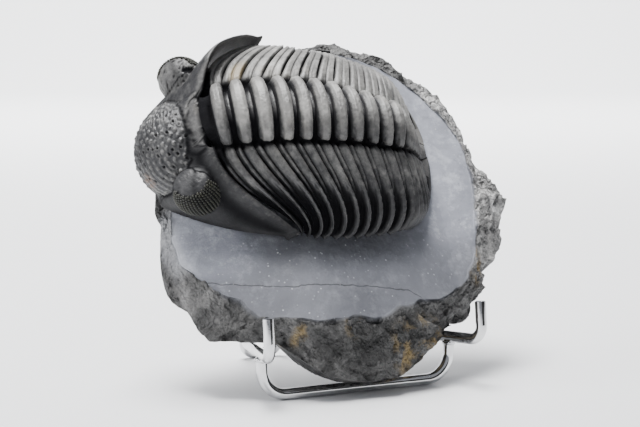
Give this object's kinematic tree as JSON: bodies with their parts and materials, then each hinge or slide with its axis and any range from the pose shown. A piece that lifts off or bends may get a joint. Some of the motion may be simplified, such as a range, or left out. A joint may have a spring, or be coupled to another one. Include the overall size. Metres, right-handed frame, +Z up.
{
  "type": "trilobite fossil on stand",
  "caption": "Half-coiled pustular trilobite with big eyes on a leaning limestone matrix slab, held by the hooks and backrest of a bent chrome wire display stand.",
  "frame": {"origin": "on the ground under the middle of the stand's front foot bar, on its lower flat", "axes": "+X along the foot bar to the viewer's right, -Y towards the viewer, +Z up"},
  "size_m": [0.1179, 0.0771, 0.0996],
  "materials": {
    "fossil_shell": "satin",
    "limestone": "matte",
    "chrome_wire": "polished"
  },
  "bodies": {
    "root": {"matrix_slab": "limestone", "cephalon": "fossil_shell", "thorax_segment_01": "fossil_shell", "thorax_segment_02": "fossil_shell", "thorax_segment_03": "fossil_shell", "thorax_segment_04": "fossil_shell", "thorax_segment_05": "fossil_shell", "thorax_segment_06": "fossil_shell", "thorax_segment_07": "fossil_shell", "thorax_segment_08": "fossil_shell", "thorax_segment_09": "fossil_shell", "thorax_segment_10": "fossil_shell", "thorax_segment_11": "fossil_shell", "pygidium": "fossil_shell", "stand_front_foot": "chrome_wire", "stand_cradle": "chrome_wire", "stand_rear_prop": "chrome_wire"}
  },
  "joints": []
}
